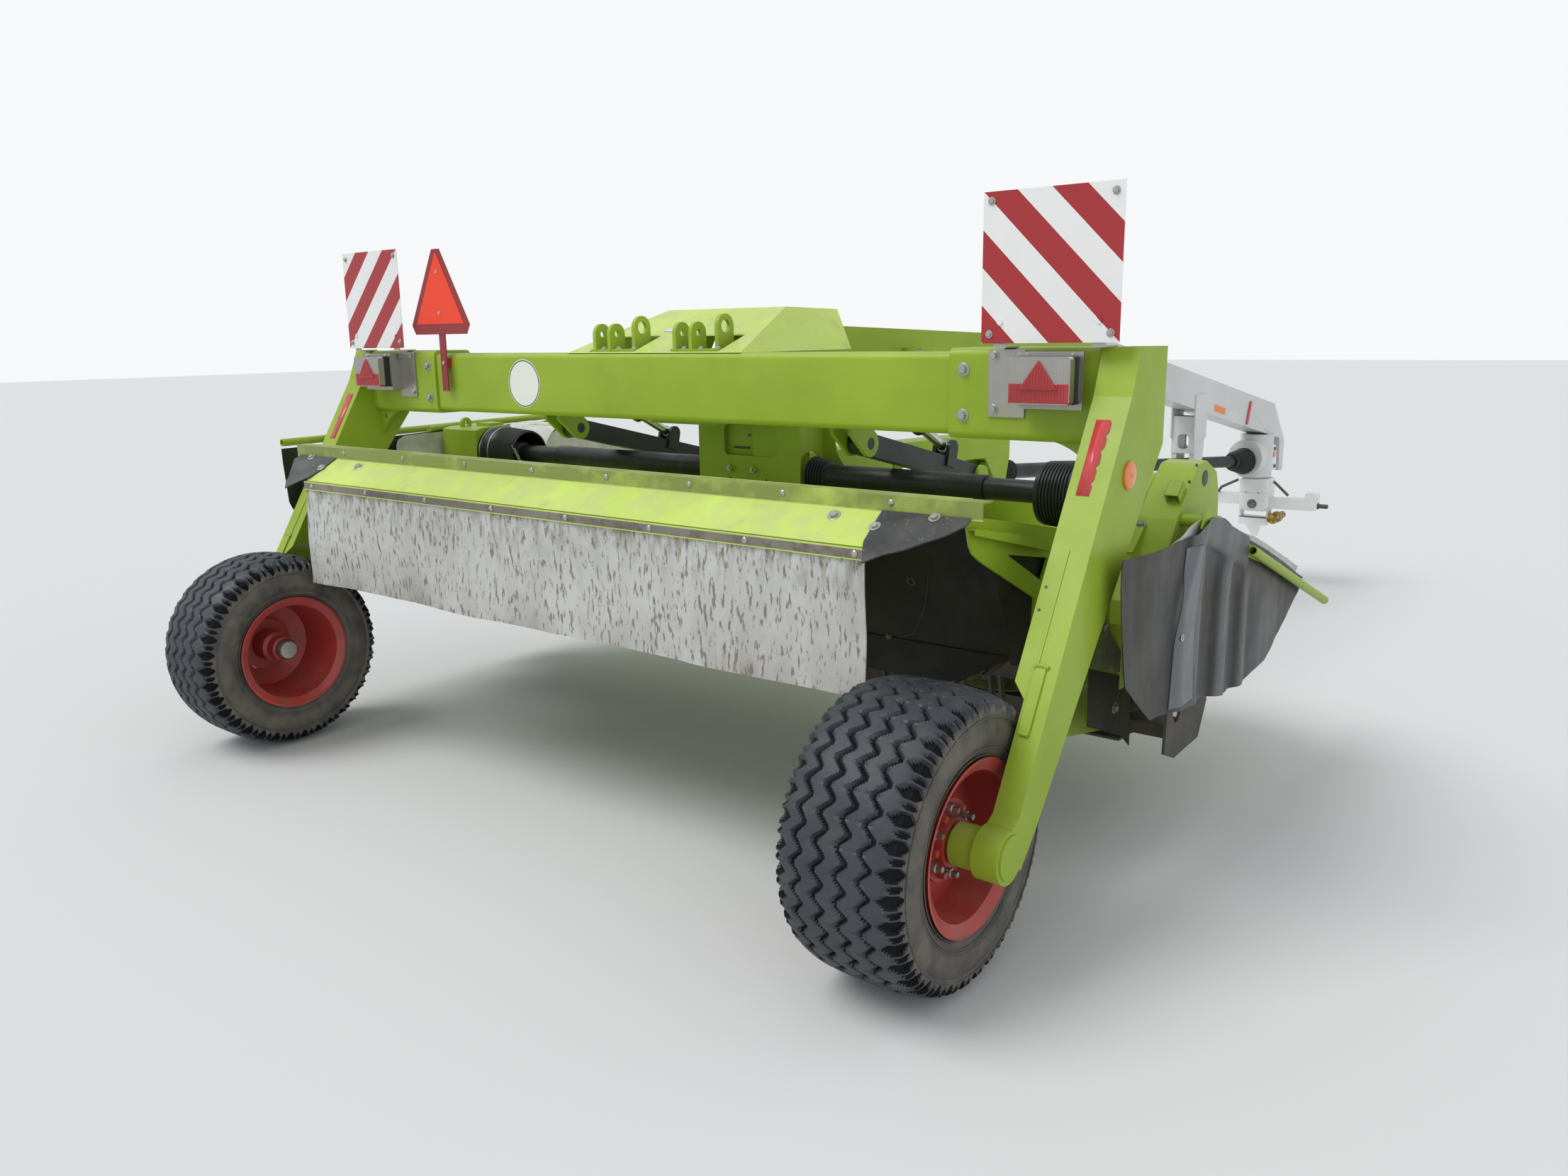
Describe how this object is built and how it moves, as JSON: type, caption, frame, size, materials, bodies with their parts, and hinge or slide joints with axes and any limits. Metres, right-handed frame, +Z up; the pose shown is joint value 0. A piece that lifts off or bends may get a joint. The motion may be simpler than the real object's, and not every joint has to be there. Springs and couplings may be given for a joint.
{
  "type": "folded disc mower",
  "caption": "trailed disc mower with a portal chassis, a centre-pivot drawbar and a tined conditioner, parked with its deck raised",
  "frame": {"origin": "middle of the bounding box in X and Y, on the ground", "axes": "X to the right, Y forward to the hitch, Z up"},
  "size_m": [4.004, 6.2506, 2.079],
  "materials": {
    "lime_paint": "satin",
    "pale_lime_paint": "satin",
    "grey_paint": "satin",
    "red_paint": "satin",
    "white_paint": "gloss",
    "black_paint": "satin",
    "zinc": "plated",
    "bar_chrome": "polished",
    "dark_steel": "worn",
    "guard_plastic": "ribbed",
    "lamp_plastic": "ribbed",
    "sign_plastic": "matte",
    "tyre": "dusty",
    "skirt_vinyl": "coated",
    "dark_vinyl": "coated",
    "rubber": "matte"
  },
  "bodies": {
    "frame": {"main_beam": "lime_paint", "lug_brackets": "lime_paint", "leg_left": "lime_paint", "leg_right": "lime_paint", "pivot_housing": "lime_paint", "pivot_hood": "pale_lime_paint", "board_left": "white_paint", "board_right": "white_paint", "lamp_left": "lamp_plastic", "lamp_right": "lamp_plastic", "slow_sign": "sign_plastic"},
    "wheel_left": {"tyre_left": "tyre", "rim_left": "red_paint"},
    "wheel_right": {"tyre_right": "tyre", "rim_right": "red_paint"},
    "drawbar": {"drawbar_rear": "lime_paint", "shaft_hanger": "lime_paint", "drawbar_front": "grey_paint", "drawbar_shaft": "guard_plastic"},
    "stand": {"stand_leg": "zinc"},
    "hitch": {"hitch_head": "white_paint"},
    "swing_tube": {"swing_barrel": "black_paint"},
    "swing_piston": {"swing_rod": "bar_chrome"},
    "lift_left": {"lift_arm_left": "black_paint"},
    "lift": {"lift_arm_right": "black_paint"},
    "top_link": {"upper_link": "black_paint"},
    "lift_tube_left": {"lift_barrel_left": "black_paint"},
    "lift_tube_right": {"lift_barrel_right": "black_paint"},
    "lift_piston_left": {"lift_rod_left": "bar_chrome"},
    "lift_piston_right": {"lift_rod_right": "bar_chrome"},
    "shaft_left": {"cross_shaft_left": "guard_plastic"},
    "shaft_right": {"cross_shaft_right": "guard_plastic"},
    "deck": {"deck_frame": "lime_paint", "deck_cover": "pale_lime_paint", "hoop_frame": "lime_paint", "canvas_left": "skirt_vinyl", "canvas_right": "skirt_vinyl", "shaft_cowls": "guard_plastic", "rear_cover": "pale_lime_paint", "rear_skirt": "skirt_vinyl", "flap_left": "rubber", "flap_right": "rubber", "swath_boards": "dark_steel", "cutter_bar": "dark_steel", "drive_box_left": "lime_paint", "drive_box_right": "lime_paint"},
    "rotor": {"conditioner": "dark_steel"},
    "side_left": {"guard_left": "lime_paint", "curtain_left": "dark_vinyl"},
    "side_right": {"guard_right": "lime_paint", "curtain_right": "dark_vinyl"},
    "cutter_1": {"disc_1": "dark_steel"},
    "cutter_2": {"disc_2": "dark_steel"},
    "cutter_3": {"disc_3": "dark_steel"},
    "cutter_4": {"disc_4": "dark_steel"},
    "cutter_5": {"disc_5": "dark_steel"},
    "cutter_6": {"disc_6": "dark_steel"},
    "cutter_7": {"disc_7": "dark_steel"},
    "cutter_8": {"disc_8": "dark_steel"},
    "cutter_9": {"disc_9": "dark_steel"}
  },
  "joints": [
    {"name": "wheel_left_spin", "type": "hinge", "parent": "frame", "child": "wheel_left", "pos_m": [-1.63, -2.72229, 0.403], "axis": [1, 0, 0], "continuous": true},
    {"name": "wheel_right_spin", "type": "hinge", "parent": "frame", "child": "wheel_right", "pos_m": [1.63, -2.72229, 0.403], "axis": [1, 0, 0], "continuous": true},
    {"name": "drawbar_swing", "type": "hinge", "parent": "frame", "child": "drawbar", "pos_m": [0, -1.41529, 1.4], "axis": [0, 0, 1], "range_deg": [-14.5, 35.5]},
    {"name": "swing_barrel_turn", "type": "hinge", "parent": "frame", "child": "swing_tube", "pos_m": [0.93, -1.68529, 1.58], "axis": [0, 0, 1], "range_deg": [-7.09, 17.06]},
    {"name": "swing_rod_slide", "type": "slide", "parent": "swing_tube", "child": "swing_piston", "axis": [-0.4675, 0.884, 0], "range_m": [-0.16144, 0.39234]},
    {"name": "stand_slide", "type": "slide", "parent": "drawbar", "child": "stand", "axis": [0, 0, 1], "range_m": [0, 0.2]},
    {"name": "hitch_swivel", "type": "hinge", "parent": "drawbar", "child": "hitch", "pos_m": [0.7971, 2.88547, 0.6], "axis": [0, 0, 1], "range_deg": [-70, 70]},
    {"name": "deck_lift", "type": "hinge", "parent": "frame", "child": "lift", "pos_m": [0, -1.71529, 1.305], "axis": [1, 0, 0], "range_deg": [-20.2, 0]},
    {"name": "lift_arm_left_turn", "type": "hinge", "parent": "frame", "child": "lift_left", "pos_m": [0, -1.71529, 1.305], "axis": [1, 0, 0], "range_deg": [-20.3, 0.1]},
    {"name": "upper_link_turn", "type": "hinge", "parent": "frame", "child": "top_link", "pos_m": [-0.45, -1.71529, 1.5], "axis": [1, 0, 0], "range_deg": [-20.3, 0.1]},
    {"name": "deck_level", "type": "hinge", "parent": "lift", "child": "deck", "pos_m": [0, -0.88488, 1.10564], "axis": [1, 0, 0], "range_deg": [-0.1, 20.3]},
    {"name": "lift_barrel_left_turn", "type": "hinge", "parent": "frame", "child": "lift_tube_left", "pos_m": [-0.76, -1.75329, 1.56], "axis": [1, 0, 0], "range_deg": [-15.58, 0.1]},
    {"name": "lift_rod_left_slide", "type": "slide", "parent": "lift_tube_left", "child": "lift_piston_left", "axis": [0, 0.8923, -0.4514], "range_m": [-0.001, 0.06714]},
    {"name": "lift_barrel_right_turn", "type": "hinge", "parent": "frame", "child": "lift_tube_right", "pos_m": [0.76, -1.75329, 1.56], "axis": [1, 0, 0], "range_deg": [-15.58, 0.1]},
    {"name": "lift_rod_right_slide", "type": "slide", "parent": "lift_tube_right", "child": "lift_piston_right", "axis": [0, 0.8923, -0.4514], "range_m": [-0.001, 0.06714]},
    {"name": "cross_shaft_left_tilt", "type": "hinge", "parent": "frame", "child": "shaft_left", "pos_m": [-0.188, -1.46529, 1.14], "axis": [0, -0.9164, 0.4003], "range_deg": [-0.1, 12.96]},
    {"name": "cross_shaft_right_tilt", "type": "hinge", "parent": "frame", "child": "shaft_right", "pos_m": [0.344, -1.46529, 1.14], "axis": [0, 0.9164, -0.4003], "range_deg": [-0.1, 14.63]},
    {"name": "conditioner_spin", "type": "hinge", "parent": "deck", "child": "rotor", "pos_m": [0, -1.91529, 0.7], "axis": [1, 0, 0], "continuous": true},
    {"name": "disc_1_spin", "type": "hinge", "parent": "deck", "child": "cutter_1", "pos_m": [-1.6, -1.39529, 0.42], "axis": [0, 0, 1], "continuous": true},
    {"name": "disc_2_spin", "type": "hinge", "parent": "deck", "child": "cutter_2", "pos_m": [-1.2, -1.39529, 0.42], "axis": [0, 0, 1], "continuous": true},
    {"name": "disc_3_spin", "type": "hinge", "parent": "deck", "child": "cutter_3", "pos_m": [-0.8, -1.39529, 0.42], "axis": [0, 0, 1], "continuous": true},
    {"name": "disc_4_spin", "type": "hinge", "parent": "deck", "child": "cutter_4", "pos_m": [-0.4, -1.39529, 0.42], "axis": [0, 0, 1], "continuous": true},
    {"name": "disc_5_spin", "type": "hinge", "parent": "deck", "child": "cutter_5", "pos_m": [0, -1.39529, 0.42], "axis": [0, 0, 1], "continuous": true},
    {"name": "disc_6_spin", "type": "hinge", "parent": "deck", "child": "cutter_6", "pos_m": [0.4, -1.39529, 0.42], "axis": [0, 0, 1], "continuous": true},
    {"name": "disc_7_spin", "type": "hinge", "parent": "deck", "child": "cutter_7", "pos_m": [0.8, -1.39529, 0.42], "axis": [0, 0, 1], "continuous": true},
    {"name": "disc_8_spin", "type": "hinge", "parent": "deck", "child": "cutter_8", "pos_m": [1.2, -1.39529, 0.42], "axis": [0, 0, 1], "continuous": true},
    {"name": "disc_9_spin", "type": "hinge", "parent": "deck", "child": "cutter_9", "pos_m": [1.6, -1.39529, 0.42], "axis": [0, 0, 1], "continuous": true},
    {"name": "guard_left_fold", "type": "hinge", "parent": "deck", "child": "side_left", "pos_m": [-1.9, -1.51529, 1.215], "axis": [1, 0, 0], "range_deg": [-21, 25]},
    {"name": "guard_right_fold", "type": "hinge", "parent": "deck", "child": "side_right", "pos_m": [1.9, -1.59529, 1.108], "axis": [1, 0, 0], "range_deg": [0, 47]}
  ],
  "couplings": [
    {"joint": "swing_barrel_turn", "follows": "drawbar_swing", "ratio": 0.475},
    {"joint": "swing_rod_slide", "follows": "drawbar_swing", "m_per_rad": 0.63},
    {"joint": "upper_link_turn", "follows": "deck_lift", "ratio": 1},
    {"joint": "lift_arm_left_turn", "follows": "deck_lift", "ratio": 1},
    {"joint": "deck_level", "follows": "deck_lift", "ratio": -1},
    {"joint": "lift_barrel_left_turn", "follows": "deck_lift", "ratio": 0.76614},
    {"joint": "lift_rod_left_slide", "follows": "deck_lift", "m_per_rad": -0.18759},
    {"joint": "cross_shaft_left_tilt", "follows": "deck_lift", "ratio": -0.63664},
    {"joint": "lift_barrel_right_turn", "follows": "deck_lift", "ratio": 0.76614},
    {"joint": "lift_rod_right_slide", "follows": "deck_lift", "m_per_rad": -0.18759},
    {"joint": "cross_shaft_right_tilt", "follows": "deck_lift", "ratio": -0.71912},
    {"joint": "disc_2_spin", "follows": "disc_1_spin", "ratio": -1},
    {"joint": "disc_3_spin", "follows": "disc_1_spin", "ratio": 1},
    {"joint": "disc_4_spin", "follows": "disc_1_spin", "ratio": -1},
    {"joint": "disc_5_spin", "follows": "disc_1_spin", "ratio": 1},
    {"joint": "disc_6_spin", "follows": "disc_1_spin", "ratio": -1},
    {"joint": "disc_7_spin", "follows": "disc_1_spin", "ratio": 1},
    {"joint": "disc_8_spin", "follows": "disc_1_spin", "ratio": -1},
    {"joint": "disc_9_spin", "follows": "disc_1_spin", "ratio": 1}
  ]
}
